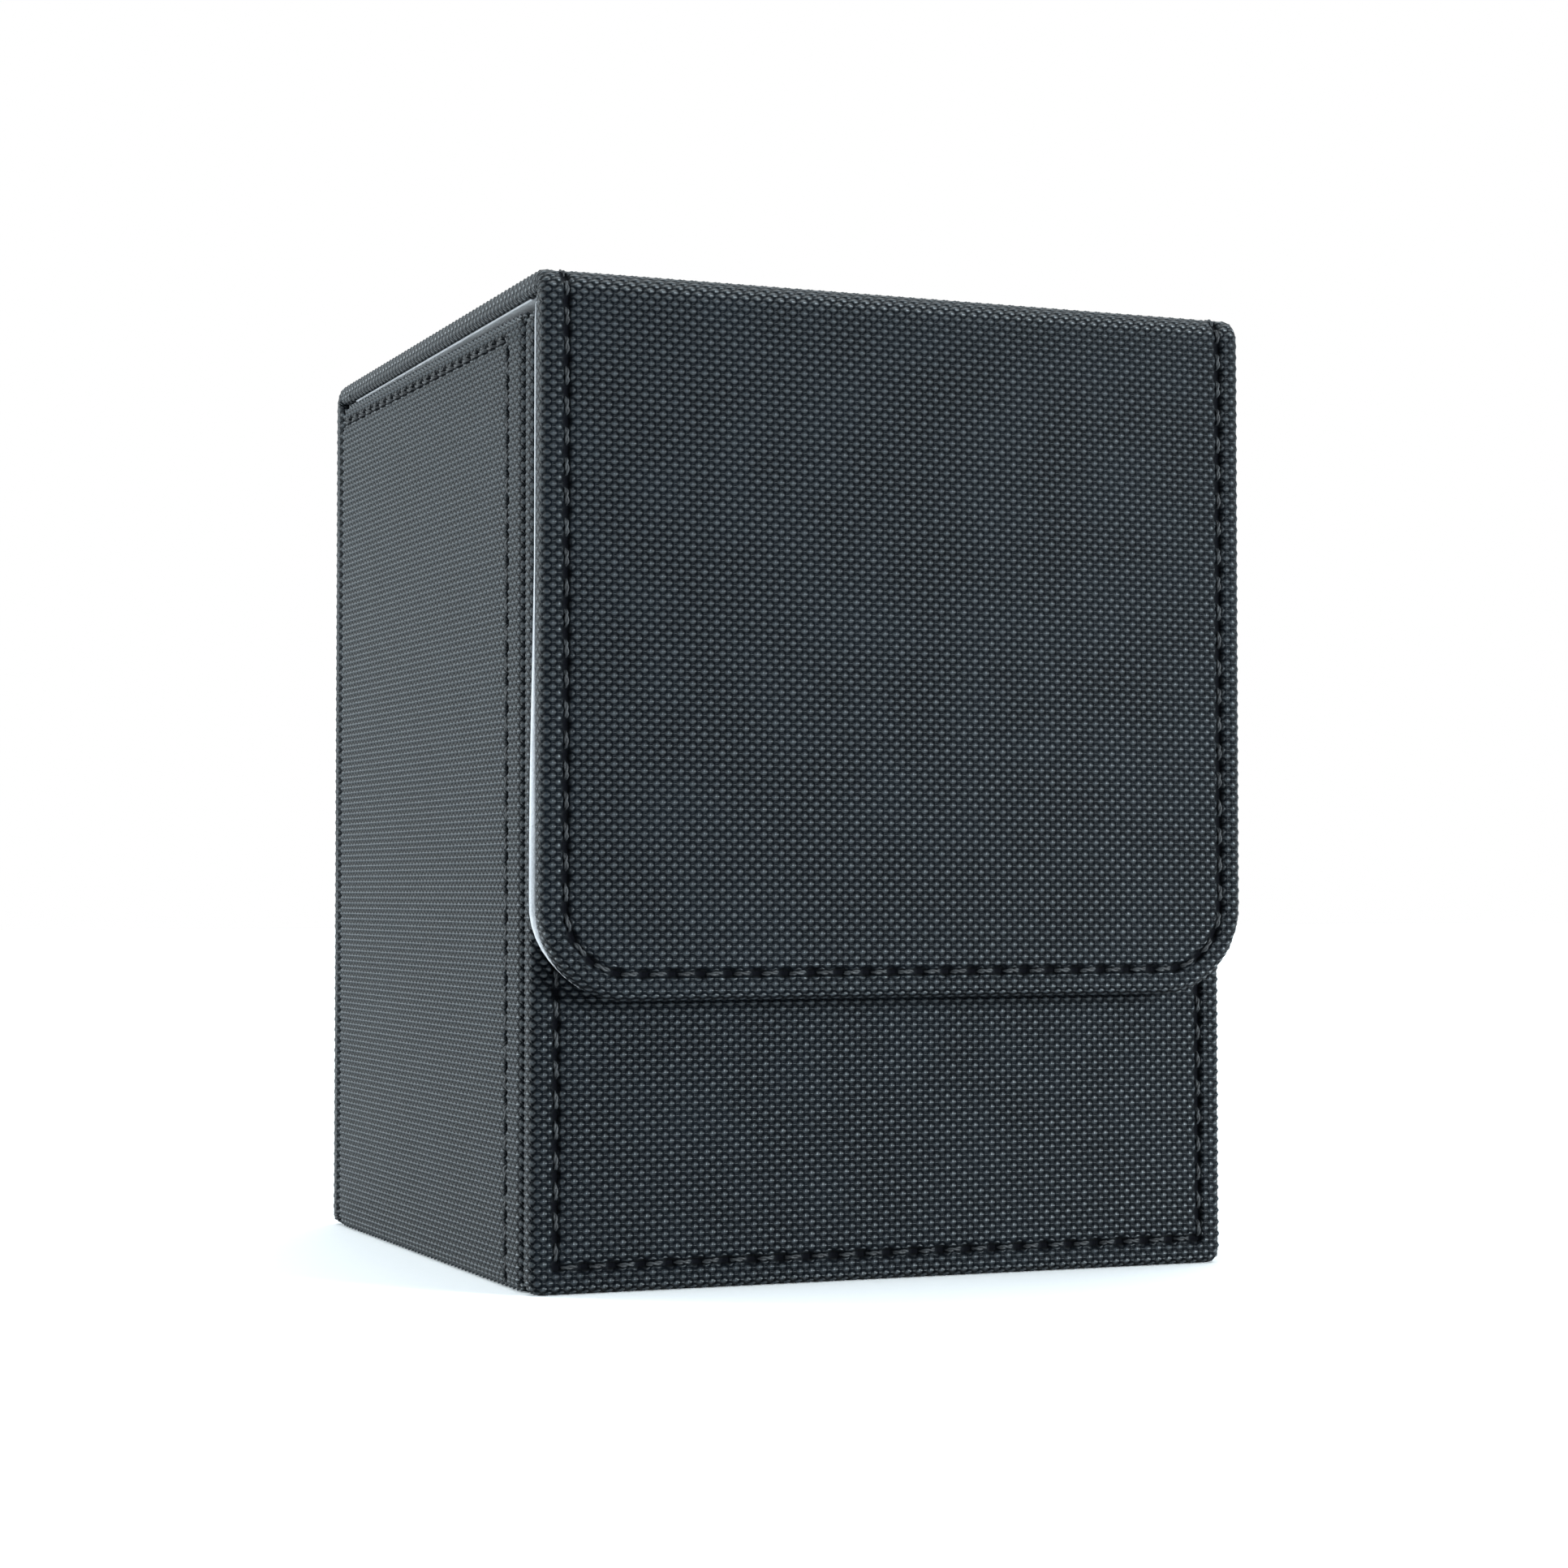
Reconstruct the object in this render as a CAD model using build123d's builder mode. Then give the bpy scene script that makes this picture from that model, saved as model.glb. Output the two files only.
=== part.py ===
from build123d import *
from math import cos, radians, sin
import os

# Card deck box: five board walls in a leatherette skin, closed by one wrap that runs from the
# back wall over the lid and down the front as a magnetic flap.
# Frame: X to the right, Y to the back, Z up, millimetres. The floor is Z = 0 and the origin
# is the middle of the whole footprint, flap included.

# ---- driving dimensions ----
box_width = 79.5  # over the side walls, and the length of the front wall
box_depth = 78.0  # front wall's face to back wall's face
wall_height = 100.0  # floor to the rims of the front and side walls
wrap_overhang = 0.4  # how far the back, lid and flap stand past each side wall
cover_thickness = 0.5  # leatherette skin
board_thickness = 1.5  # greyboard stiffener
lining_thickness = 0.5  # suede lining, let into the turned-in skin
flap_lining_thickness = 0.8  # heavier suede, laid over the whole back of the flap
flap_gap = 0.3  # flap lining to front wall when shut
flap_bottom_height = 29.6  # floor to the flap's lower edge
flap_corner_radius = 9.5
rim_corner_radius = 2.0  # upper corners of the front and side walls
roll_radius = 1.0  # skin rolled round a board's edge
seam_roll_radius = 0.7  # the same roll on the hidden side of a corner seam
lid_seat_gap = 0.2  # lid's underside over the rims, at the back
lid_tilt = 0.6  # degrees that the lid rises towards the front
fold_slack = 0.1  # outside radius of each fold, past a panel's thickness
rim_margin = 5.0  # skin turned in below each rim, above the lining
lid_margin = 1.2  # skin turned in along the lid's sides
fold_setback = 0.5  # flap lining below the lid's underside
board_clearance = 0.05  # board in its pocket, and lining in its recess
wrap_stitch_inset = 2.7  # stitch line from the sides and lower edge of the wrap
front_stitch_inset = 2.8
side_stitch_inset = 5.8  # stitch line from the side wall's front edge
side_rim_stitch_inset = 2.1  # stitch line below the side wall's rim
thread_width = 0.3
thread_height = 0.28
channel_width = 0.5
channel_depth = 0.32
magnet_diameter = 12.0
magnet_thickness = 1.3
magnet_clearance = 0.1  # around each magnet's rim
magnet_spacing = 44.0  # between the two centres
magnet_height = 44.0  # floor to the centres

# ---- derived places ----
panel_thickness = cover_thickness + board_thickness + lining_thickness
fold_radius = panel_thickness + fold_slack
wrap_width = box_width + 2 * wrap_overhang
flap_standoff = panel_thickness + flap_lining_thickness + flap_gap
whole_depth = box_depth + flap_standoff
flap_face_y = -whole_depth / 2
back_face_y = whole_depth / 2
front_face_y = flap_face_y + flap_standoff
side_front_y = front_face_y + panel_thickness
side_back_y = back_face_y - panel_thickness
side_middle_y = (side_front_y + side_back_y) / 2
side_length = side_back_y - side_front_y
inner_width = box_width - 2 * panel_thickness
half_inner = inner_width / 2
lid_fold_y = back_face_y - fold_radius
lid_fold_z = wall_height + lid_seat_gap + panel_thickness - fold_radius
tilt_sin = sin(radians(lid_tilt))
tilt_cos = cos(radians(lid_tilt))
flap_fold_y = flap_face_y + fold_radius
lid_length = (lid_fold_y - flap_fold_y) / tilt_cos
flap_fold_z = lid_fold_z + lid_length * tilt_sin
flap_length = flap_fold_z - flap_bottom_height
lid_back_y = lid_fold_y + fold_radius * tilt_sin
lid_back_z = lid_fold_z + fold_radius * tilt_cos
board_bottom = cover_thickness + board_thickness
stitch_half = wrap_width / 2 - wrap_stitch_inset

# ---- panel planes: X along the panel, Y up it (or forward on the lid), Z out of its face ----
front_plane = Plane(origin=(0, front_face_y, 0), x_dir=(1, 0, 0), z_dir=(0, -1, 0))
back_plane = Plane(origin=(0, back_face_y, 0), x_dir=(-1, 0, 0), z_dir=(0, 1, 0))
left_plane = Plane(origin=(-box_width / 2, side_middle_y, 0), x_dir=(0, -1, 0), z_dir=(-1, 0, 0))
right_plane = Plane(origin=(box_width / 2, side_middle_y, 0), x_dir=(0, 1, 0), z_dir=(1, 0, 0))
bottom_plane = Plane(origin=(0, side_middle_y, 0), x_dir=(1, 0, 0), z_dir=(0, 0, -1))
lid_plane = Plane(origin=(0, lid_back_y, lid_back_z), x_dir=(-1, 0, 0), z_dir=(0, tilt_sin, tilt_cos))
flap_plane = Plane(origin=(0, flap_face_y, flap_fold_z), x_dir=(1, 0, 0), z_dir=(0, -1, 0))
fold_section = Plane(origin=(0, 0, 0), x_dir=(0, 1, 0), z_dir=(1, 0, 0))

os.makedirs("parts", exist_ok=True)


def save(part, name):
    """Labels a finished piece and writes it as its own file."""
    part.label = name
    export_step(part, f"parts/{name}.step")


def outline(width, low, high, low_radius=0.0, high_radius=0.0):
    """Adds a panel's outline to the open sketch, centred on its X, with rounded corners."""
    with Locations((0, (low + high) / 2)):
        Rectangle(width, high - low)
    if low_radius > 0:
        fillet(vertices().group_by(Axis.Y)[0], low_radius)
    if high_radius > 0:
        fillet(vertices().group_by(Axis.Y)[-1], high_radius)


def slab(plane, depth, thickness, width, low, high, low_radius=0.0, high_radius=0.0):
    """A flat sheet that starts at a depth behind the panel's face."""
    with BuildPart() as sheet:
        with BuildSketch(plane.offset(-depth)):
            outline(width, low, high, low_radius, high_radius)
        extrude(amount=-thickness)
    return sheet.part


def rim_edges(solid, plane, inner, open_ends):
    """The edges round a panel's outer or inner face, less those at its open ends."""
    normal = Axis(plane.origin, plane.z_dir)
    along = Axis(plane.origin, plane.y_dir)
    face = solid.faces().filter_by(normal).sort_by(normal)[0 if inner else -1]
    ranked = face.edges().sort_by(along)
    left_out = [ranked[place] for place in open_ends]
    return [edge for edge in ranked if edge not in left_out]


def board(plane, width, low, high, low_radius=0.0, high_radius=0.0, holes=()):
    """A greyboard stiffener that fits its pocket with board_clearance, with holes for magnets."""
    inset = cover_thickness + board_clearance
    low_corner = max(low_radius - inset, 0)
    high_corner = max(high_radius - inset, 0)
    with BuildPart() as sheet:
        with BuildSketch(plane.offset(-cover_thickness)):
            outline(width - 2 * inset, low + inset, high - inset, low_corner, high_corner)
            if holes:
                with Locations(*holes):
                    Circle(magnet_diameter / 2 + magnet_clearance, mode=Mode.SUBTRACT)
        extrude(amount=-board_thickness)
    return sheet.part


def lining(plane, width, low, high):
    """A suede sheet let into the recess behind the board."""
    return slab(
        plane,
        board_bottom,
        lining_thickness,
        width - 2 * board_clearance,
        low + board_clearance,
        high - board_clearance,
    )


def path_lines(points, corner):
    """A stitch line through points in the open line context, its corners rounded."""
    if corner > 0:
        FilletPolyline(*points, radius=corner)
    else:
        Polyline(*points)


def stitch_band(plane, points, corner, width, depth, height):
    """A flat band along a stitch line, as the cut of a channel or as the thread in it."""
    with BuildPart() as band:
        with BuildSketch(plane.offset(-depth)):
            with BuildLine():
                path_lines(points, corner)
            trace(line_width=width)
        extrude(amount=height)
    return band.part


def thread(plane, paths):
    """The sewing thread of one panel, sunk below its face."""
    with BuildPart() as lines:
        for points, corner in paths:
            add(stitch_band(plane, points, corner, thread_width, channel_depth, thread_height))
    return lines.part


def channel(plane, points, corner):
    """The pinched channel that the thread lies in, cut a little past the face."""
    return stitch_band(plane, points, corner, channel_width, channel_depth, 2 * channel_depth)


def skin(plane, width, low, high, window, corners=(0.0, 0.0), rolls=(0.0, 0.0), open_ends=(), paths=()):
    """A leatherette skin wrapped round a board, with a recess for its lining.

    window is the recess, as (width, low, high). corners are the outline's lower and upper
    radii, and rolls the radii of its outer and inner rims. open_ends lists the ends that go
    on into a fold, 0 for the low end and -1 for the high one. paths are stitch lines, as
    (points, corner radius).
    """
    board_low = low + cover_thickness
    board_high = high - cover_thickness
    board_corners = [max(radius - cover_thickness, 0) for radius in corners]
    with BuildPart() as cover:
        with BuildSketch(plane):
            outline(width, low, high, *corners)
        extrude(amount=-panel_thickness)
        for inner, radius in enumerate(rolls):
            if radius > 0:
                fillet(rim_edges(cover, plane, inner == 1, open_ends), radius)
        add(
            slab(
                plane,
                cover_thickness,
                board_thickness,
                width - 2 * cover_thickness,
                board_low,
                board_high,
                *board_corners,
            ),
            mode=Mode.SUBTRACT,
        )
        add(slab(plane, board_bottom, 2 * lining_thickness, *window), mode=Mode.SUBTRACT)
        for points, corner in paths:
            add(channel(plane, points, corner), mode=Mode.SUBTRACT)
    return cover.part


def fold(centre_y, centre_z, start, turn, outer, thickness, width):
    """A strip bent round a fold's centre, from one angle in the YZ plane through a turn."""
    with BuildPart() as strip:
        with BuildSketch(fold_section):
            with BuildLine():
                rim = CenterArc((centre_y, centre_z), outer, start, turn)
                bore = CenterArc((centre_y, centre_z), outer - thickness, start, turn)
                Line(rim @ 0, bore @ 0)
                Line(rim @ 1, bore @ 1)
            make_face()
        extrude(amount=width / 2, both=True)
    return strip.part


# ---- outlines shared by each panel's pieces ----
rim_corners = (0.0, rim_corner_radius)
panel_rolls = (roll_radius, seam_roll_radius)
wall_window_top = wall_height - rim_margin
magnet_places = [(side * magnet_spacing / 2, magnet_height) for side in (-1, 1)]
flap_magnet_places = [(x, z - flap_fold_z) for x, z in magnet_places]
flap_corners = (flap_corner_radius, 0.0)
back_top = lid_fold_z

# ---- front wall ----
front_half = box_width / 2 - front_stitch_inset
front_top = wall_height - front_stitch_inset
front_corner_points = [
    (-front_half, front_stitch_inset),
    (front_half, front_stitch_inset),
    (front_half, front_top),
    (-front_half, front_top),
    (-front_half, front_stitch_inset),
]
front_paths = [(front_corner_points, 0.0)]
front_window = (inner_width, panel_thickness, wall_window_top)
save(
    skin(front_plane, box_width, 0, wall_height, front_window, rim_corners, panel_rolls, (), front_paths),
    "front_cover",
)
save(board(front_plane, box_width, 0, wall_height, *rim_corners, magnet_places), "front_board")
save(lining(front_plane, *front_window), "front_lining")
save(thread(front_plane, front_paths), "front_stitching")

# ---- side walls: the two stitch lines meet near the rim's front corner ----
side_window = (side_length, panel_thickness, wall_window_top)
side_rim_line = wall_height - side_rim_stitch_inset
for name, plane, forward in (("left", left_plane, 1), ("right", right_plane, -1)):
    column = forward * (side_length / 2 - side_stitch_inset)
    rear = -forward * (side_length / 2 - roll_radius)
    corner_points = [(rear, side_rim_line), (column, side_rim_line), (column, roll_radius)]
    side_paths = [(corner_points, 0.0)]
    save(
        skin(plane, side_length, 0, wall_height, side_window, rim_corners, panel_rolls, (), side_paths),
        f"{name}_cover",
    )
    save(board(plane, side_length, 0, wall_height, *rim_corners), f"{name}_board")
    save(lining(plane, *side_window), f"{name}_lining")
    save(thread(plane, side_paths), f"{name}_stitching")

# ---- back wall: its skin goes on into the lid's fold ----
back_points = [
    (-stitch_half, back_top),
    (-stitch_half, wrap_stitch_inset),
    (stitch_half, wrap_stitch_inset),
    (stitch_half, back_top),
]
back_paths = [(back_points, 0.0)]
back_window = (inner_width, panel_thickness, wall_window_top)
save(
    skin(back_plane, wrap_width, 0, back_top, back_window, (0, 0), panel_rolls, (-1,), back_paths),
    "back_cover",
)
save(board(back_plane, wrap_width, 0, back_top), "back_board")
save(lining(back_plane, *back_window), "back_lining")
save(thread(back_plane, back_paths), "back_stitching")

# ---- floor, between the four walls ----
floor_low = -side_length / 2
floor_high = side_length / 2
floor_window = (inner_width, floor_low, floor_high)
save(skin(bottom_plane, inner_width, floor_low, floor_high, floor_window), "bottom_cover")
save(board(bottom_plane, inner_width, floor_low, floor_high), "bottom_board")
save(lining(bottom_plane, *floor_window), "bottom_lining")

# ---- lid ----
lid_paths = [([(side * stitch_half, 0), (side * stitch_half, lid_length)], 0.0) for side in (-1, 1)]
lid_window = (wrap_width - 2 * lid_margin, 0, lid_length)
save(
    skin(lid_plane, wrap_width, 0, lid_length, lid_window, (0, 0), panel_rolls, (0, -1), lid_paths),
    "lid_cover",
)
save(board(lid_plane, wrap_width, 0, lid_length), "lid_board")
save(lining(lid_plane, *lid_window), "lid_lining")
save(thread(lid_plane, lid_paths), "lid_stitching")

# ---- flap: its lining is laid over the turned-in skin, out to the edge ----
flap_low = -flap_length
flap_stitch_low = flap_low + wrap_stitch_inset
flap_points = [
    (-stitch_half, 0),
    (-stitch_half, flap_stitch_low),
    (stitch_half, flap_stitch_low),
    (stitch_half, 0),
]
flap_paths = [(flap_points, flap_corner_radius - wrap_stitch_inset)]
flap_window = (wrap_width - 2 * wrap_stitch_inset, flap_stitch_low, -wrap_stitch_inset)
save(
    skin(flap_plane, wrap_width, flap_low, 0, flap_window, flap_corners, panel_rolls, (-1,), flap_paths),
    "flap_cover",
)
save(board(flap_plane, wrap_width, flap_low, 0, *flap_corners, flap_magnet_places), "flap_board")
flap_backing = slab(
    flap_plane,
    panel_thickness,
    flap_lining_thickness,
    wrap_width,
    flap_low,
    -fold_setback,
    *flap_corners,
)
with BuildPart() as flap_suede:
    add(flap_backing)
    add(lining(flap_plane, *flap_window))
save(flap_suede.part, "flap_lining")
save(thread(flap_plane, flap_paths), "flap_stitching")

# ---- closing magnets, one pair in each board ----
for name, plane, places in (
    ("front_magnets", front_plane, magnet_places),
    ("flap_magnets", flap_plane, flap_magnet_places),
):
    with BuildPart() as magnets:
        with BuildSketch(plane.offset(-cover_thickness)):
            with Locations(*places):
                Circle(magnet_diameter / 2)
        extrude(amount=-magnet_thickness)
    save(magnets.part, name)

# ---- folds: skin outside, lining inside, and the thread that crosses them ----
folds = (
    ("lid_hinge", lid_fold_y, lid_fold_z, fold_radius, 0, 90 - lid_tilt),
    ("flap_hinge", flap_fold_y, flap_fold_z, fold_radius, 90 - lid_tilt, 90 + lid_tilt),
)
for name, centre_y, centre_z, radius, start, turn in folds:
    inside = radius - cover_thickness
    groove = radius - channel_depth
    with BuildPart() as strip:
        add(fold(centre_y, centre_z, start, turn, radius, cover_thickness, wrap_width))
        for side in (-1, 1):
            cut = fold(
                centre_y, centre_z, start, turn, radius + channel_depth, 2 * channel_depth, channel_width
            )
            add(Pos(side * stitch_half, 0, 0) * cut, mode=Mode.SUBTRACT)
    save(strip.part, f"{name}_cover")
    save(
        fold(centre_y, centre_z, start, turn, inside, lining_thickness, wrap_width - 2 * lid_margin),
        f"{name}_lining",
    )
    with BuildPart() as crossing:
        sewn = fold(centre_y, centre_z, start, turn, groove + thread_height, thread_height, thread_width)
        for side in (-1, 1):
            add(Pos(side * stitch_half, 0, 0) * sewn)
    save(crossing.part, f"{name}_stitching")
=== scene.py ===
import bpy
import numpy as np
from math import cos, pi, radians, sin
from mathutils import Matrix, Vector


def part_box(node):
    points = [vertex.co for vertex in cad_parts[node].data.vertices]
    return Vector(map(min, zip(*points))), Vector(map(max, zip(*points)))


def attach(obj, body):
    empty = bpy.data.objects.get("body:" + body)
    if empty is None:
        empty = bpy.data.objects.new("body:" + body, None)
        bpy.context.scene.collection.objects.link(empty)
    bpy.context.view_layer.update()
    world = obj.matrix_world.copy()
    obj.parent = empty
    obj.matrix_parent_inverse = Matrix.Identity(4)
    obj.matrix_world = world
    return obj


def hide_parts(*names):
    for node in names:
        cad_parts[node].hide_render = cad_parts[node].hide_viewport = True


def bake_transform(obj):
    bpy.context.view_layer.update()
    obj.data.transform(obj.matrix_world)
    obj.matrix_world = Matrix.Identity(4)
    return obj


# Card deck box. Lengths here are millimetres until a mesh is made, and the places come from
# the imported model's boxes.
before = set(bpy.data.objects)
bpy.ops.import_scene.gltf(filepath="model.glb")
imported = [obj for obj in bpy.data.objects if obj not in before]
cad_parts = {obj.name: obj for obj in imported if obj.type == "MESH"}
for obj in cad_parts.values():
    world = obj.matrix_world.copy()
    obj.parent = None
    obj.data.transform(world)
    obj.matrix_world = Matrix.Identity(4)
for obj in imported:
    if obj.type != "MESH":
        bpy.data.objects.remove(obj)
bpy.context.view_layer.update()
MM = 0.001

# ---- skin: the embossed leatherette ----
EMBOSS_X = 1.30  # one bump to the next across a panel
EMBOSS_Y = 1.27  # and along it
SAMPLES = 4  # mesh lines to one bump
END_STRIP = 0.02  # a narrow last row of faces at each open end
EMBOSS_HEIGHT = 0.13  # half the height from groove to crown
EMBOSS_SINK = 0.3  # share of that height the whole emboss is pressed below the face
EMBOSS_SHADE = 2.2  # height of the finer shape that the material adds, over half the height
EDGE_BUMPS = -0.3  # change in the bumps' height where the wrap is rolled over an edge
FOLD_BUMPS = -0.4  # and in the middle of a fold
EMBOSS_ENDS = (0.6, 0.2)  # the emboss fades out between these lengths from the skin's turned end
DEEPEST = 0.44  # the skin is never pressed deeper than its own thickness
THICKNESS = 2.5  # a whole panel, skin, board and lining
LID_THICKNESS = 2.3  # the lid, pressed thinner at its edges
ROLL = 1.0  # skin round a board's outer edge
SEAM_ROLL = 0.85  # and round its inner edge
SIDE_ROLLS = (1.3, 0.9)  # the same two on the side walls
WALL_EDGE_BUMPS = 0.3  # change in the bumps' height where the walls' skin is rolled over
SIDE_RAISED = 1.6  # the side walls' bumps are this much higher than the wrap's
FOOT_CORNER = 1.5  # lower corners of the walls
RIM_CORNER = 2.0  # upper corners of the walls
FLAP_CORNER = 9.5  # lower corners of the flap
FOLD_THINNING = 0.35  # how much thinner the wrap is in the middle of a fold
SEAM_GAP = 0.6  # dark gap behind each corner's overlap

# ---- sewing ----
PITCH = 3.05  # one needle hole to the next
WRAP_INSET = 2.7  # stitching in from the wrap's edges
FRONT_INSET = 2.8  # in from the front wall's edges
SIDE_INSET = 5.8  # in from the side walls' front edges
SIDE_RIM_INSET = 2.1  # and down from their rims
CHANNEL_WIDTH = 0.32  # the channel the thread lies in
CHANNEL_DEPTH = 0.17
FINE_REACH = 2.2 * CHANNEL_WIDTH  # mesh lines are closer together this near to sewing
HOLE_LENGTH = 0.68  # a needle hole along the channel, across it and into the panel
HOLE_WIDTH = 0.40
HOLE_DEPTH = 0.75
STRAND = 0.14  # radius of one ply of the thread
PLIES = 2
STRAND_SIDES = 6
STITCH_RINGS = 11
STITCH_ENDS = (0.07, 0.93)  # the shares of the pitch where a stitch leaves and enters the panel
STITCH_RISE = (0.14, 0.32)  # and where it has started to rise and lies on the skin
STITCH_SUNK = 0.85  # depth of its ends
STITCH_ARCH = 0.74  # and how far it rises from there
PLY_TURNS = 1.6  # twist over one stitch

# ---- side boards, drawn in from the seams ----
BOARD_DEPTH = 0.9
BOARD_INSET = 1.2
BOARD_THICKNESS = 0.9

# ---- linings ----
SUEDE_STEP = 1.6  # one mesh line of a lining to the next
SUEDE_THICK = 0.4
FOLD_SUEDE_THICK = 0.3
SUEDE_CORNERS = (0.3, 0.3)
SUEDE_ROLLS = (0.2, 0.1)
SUEDE_WAVE = 0.03  # height of a lining's soft unevenness
WRAP_SHIFT = 0.3  # the wrap is sewn this far to the right of the walls
SUEDE_DRAWN_IN = -0.28  # flap lining's edge past its even place, at the top
SUEDE_SPREAD = 0.22  # and near the lower corners
LID_SUEDE_SPREAD = 0.35  # lid lining past its recess, each side
SUEDE_PROUD = 0.08  # a lining stands this far out of its recess

# ---- the finer shape of a bump, in turns of the emboss ----
DOME_MIDDLE = 0.08  # the crown, across from the bump's middle
DOME_WIDTH = 0.36  # half its size across the bump
DOME_HEIGHT = 0.27  # and along the panel
DOME_SHARE = 0.62  # the dome's share of the shape; the facets of its cell are the rest
TAIL_HEIGHT = 0.16  # the ridge that runs back from the crown
TAIL_THIN = 110.0  # how quickly the ridge falls off to its sides
WOBBLE = (0.10, 0.08)  # unevenness of the two crossed rows

# ---- colours ----
GROOVE_SHADED_SHINE = (0.05, 0.06, 0.07)  # painted shade: the skin's gloss, tinted dark deep in a groove where shade falls
CROWN_SHINE = (0.90, 0.97, 1.0)  # and on a crown
# painted shade: the leather's colour deep in a groove, darker where shade falls between the bumps
LEATHER_GROOVE_SHADE = (0.0010, 0.0015, 0.0025)
LEATHER_CROWN = (0.006, 0.0095, 0.014)
LEATHER_WORN = (0.010, 0.015, 0.021)
# painted shade: the near-black of a deep needle hole, painted on the shallow skin there
HOLE_PAINTED_SHADE = (0.002, 0.002, 0.003)
SUEDE_DARK = (0.36, 0.375, 0.40)
SUEDE_LIGHT = (0.46, 0.475, 0.50)
SUEDE_TIP = (0.52, 0.53, 0.555)
THREAD_DARK = (0.007, 0.008, 0.010)
THREAD_LIGHT = (0.022, 0.025, 0.028)
BOARD_DARK = (0.010, 0.011, 0.012)
BOARD_LIGHT = (0.017, 0.018, 0.020)
BOARD_FLECK = (0.030, 0.031, 0.033)
NICKEL_DULL = (0.52, 0.50, 0.46)
NICKEL_BRIGHT = (0.66, 0.64, 0.60)
PAPER_DARK = (0.86, 0.87, 0.88)
PAPER_LIGHT = (0.89, 0.90, 0.90)

# ---- room, lights and camera ----
ROOM_TINT = (0.88, 0.96, 1.0)
OPEN_FRONT = (0.1, -1.0, -0.2)  # the way the room's open front lies
OPENING_EDGE = -0.6  # the cosine from that way at which the room starts to dim
OPENING_CORE = 0.5  # and at which it is dimmest
ROOM_LIGHT = 1.3
FRONT_LIGHT = 0.05
SUNS = (  # name, the way to it, strength, and its spread in degrees
    ("overhead", (0.05, 0.12, 1.0), 2.2, 60),
    ("left", (-0.95, -0.15, 0.28), 1.8, 28),
    ("window", (-0.78, 0.58, 0.22), 2.2, 14),
    ("right", (0.66, -0.72, 0.22), 6.5, 20),
)
FLOOR_REACH = 3.0
SENSOR = 36.0
LENS = 73.96
VIEW_AZIMUTH = -22.464
VIEW_ELEVATION = -1.906
CAMERA_PLACE = (-0.14007, -0.34661, 0.04068)


def box_mm(node):
    """A CAD node's lowest and highest corners, in millimetres."""
    low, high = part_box(node)
    return np.array(low) / MM, np.array(high) / MM


# ---------------------------------------------------------------- panel places
class Flat:
    """A flat panel: x across it, y along it and depth below its outer face."""

    def __init__(self, origin, across, along):
        self.origin = np.array(origin, float)
        self.across = np.array(across, float)
        self.along = np.array(along, float)
        self.out = np.cross(self.across, self.along)

    def point(self, x, y, depth):
        return (
            self.origin
            + x[..., None] * self.across
            + y[..., None] * self.along
            - depth[..., None] * self.out
        )

    def vector(self, x, y, out, at):
        return x[..., None] * self.across + y[..., None] * self.along + out[..., None] * self.out


class Fold:
    """A panel bent round the X axis: y runs round the arc, and straight on past both its ends."""

    def __init__(self, centre, radius, start, turn, across, thickness):
        self.centre = centre
        self.thickness = thickness
        self.radius = radius
        self.start = radians(start)
        self.turn = radians(turn)
        self.length = radius * self.turn
        self.across = np.array(across, float)

    def frame_at(self, y):
        """The angle round the fold, and the length past its nearer end."""
        angle = self.start + np.clip(y, 0, self.length) / self.radius
        return angle, np.minimum(y, 0) + np.maximum(y - self.length, 0)

    def point(self, x, y, depth):
        angle, past = self.frame_at(y)
        share = smoothstep(0, self.length, y)
        whole = self.thickness[0] * (1 - share) + self.thickness[1] * share
        middle = np.sin(pi * np.clip(y / self.length, 0, 1)) ** 2
        whole = whole - FOLD_THINNING * (whole - ROLL) * middle
        under_roll = np.maximum(depth - ROLL, 0) * (whole - ROLL) / (THICKNESS - ROLL)
        reach = self.radius - np.minimum(depth, ROLL) - under_roll
        points = x[..., None] * self.across
        points[..., 0] += WRAP_SHIFT
        points[..., 1] += self.centre[0] + reach * np.cos(angle) - past * np.sin(angle)
        points[..., 2] += self.centre[1] + reach * np.sin(angle) + past * np.cos(angle)
        return points

    def vector(self, x, y, out, at):
        angle = self.frame_at(at)[0]
        vectors = x[..., None] * self.across
        vectors[..., 1] += out * np.cos(angle) - y * np.sin(angle)
        vectors[..., 2] += out * np.sin(angle) + y * np.cos(angle)
        return vectors


class Behind:
    """The other side of a panel, seen from a depth below its outer face."""

    def __init__(self, place, depth):
        self.place = place
        self.depth = depth

    def point(self, x, y, depth):
        return self.place.point(-x, y, self.depth - depth)

    def vector(self, x, y, out, at):
        return self.place.vector(-x, y, -out, at)


# ---------------------------------------------------------------- mesh helpers
def new_object(name, points, faces, smooth=None):
    mesh = bpy.data.meshes.new(name)
    mesh.from_pydata((np.asarray(points) * MM).tolist(), [], faces)
    mesh.update()
    flags = np.ones(len(faces), bool) if smooth is None else np.asarray(smooth, bool)
    mesh.polygons.foreach_set("use_smooth", flags)
    piece = bpy.data.objects.new(name, mesh)
    bpy.context.scene.collection.objects.link(piece)
    return piece


def grid_faces(rows, columns, start=0):
    index = start + np.arange(rows * columns).reshape(rows, columns)
    return np.stack(
        [index[:-1, :-1], index[:-1, 1:], index[1:, 1:], index[1:, :-1]], axis=-1
    ).reshape(-1, 4)


def grid_border(rows, columns):
    """The vertices round a grid's border, in order."""
    index = np.arange(rows * columns).reshape(rows, columns)
    return np.concatenate(
        [index[0, :-1], index[:-1, -1], index[-1, :0:-1], index[:0:-1, 0]]
    )


def set_map(mesh, name, values):
    """A UV map from one value for each corner."""
    layer = mesh.uv_layers.new(name=name)
    layer.data.foreach_set("uv", np.asarray(values, np.float32).ravel())


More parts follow.
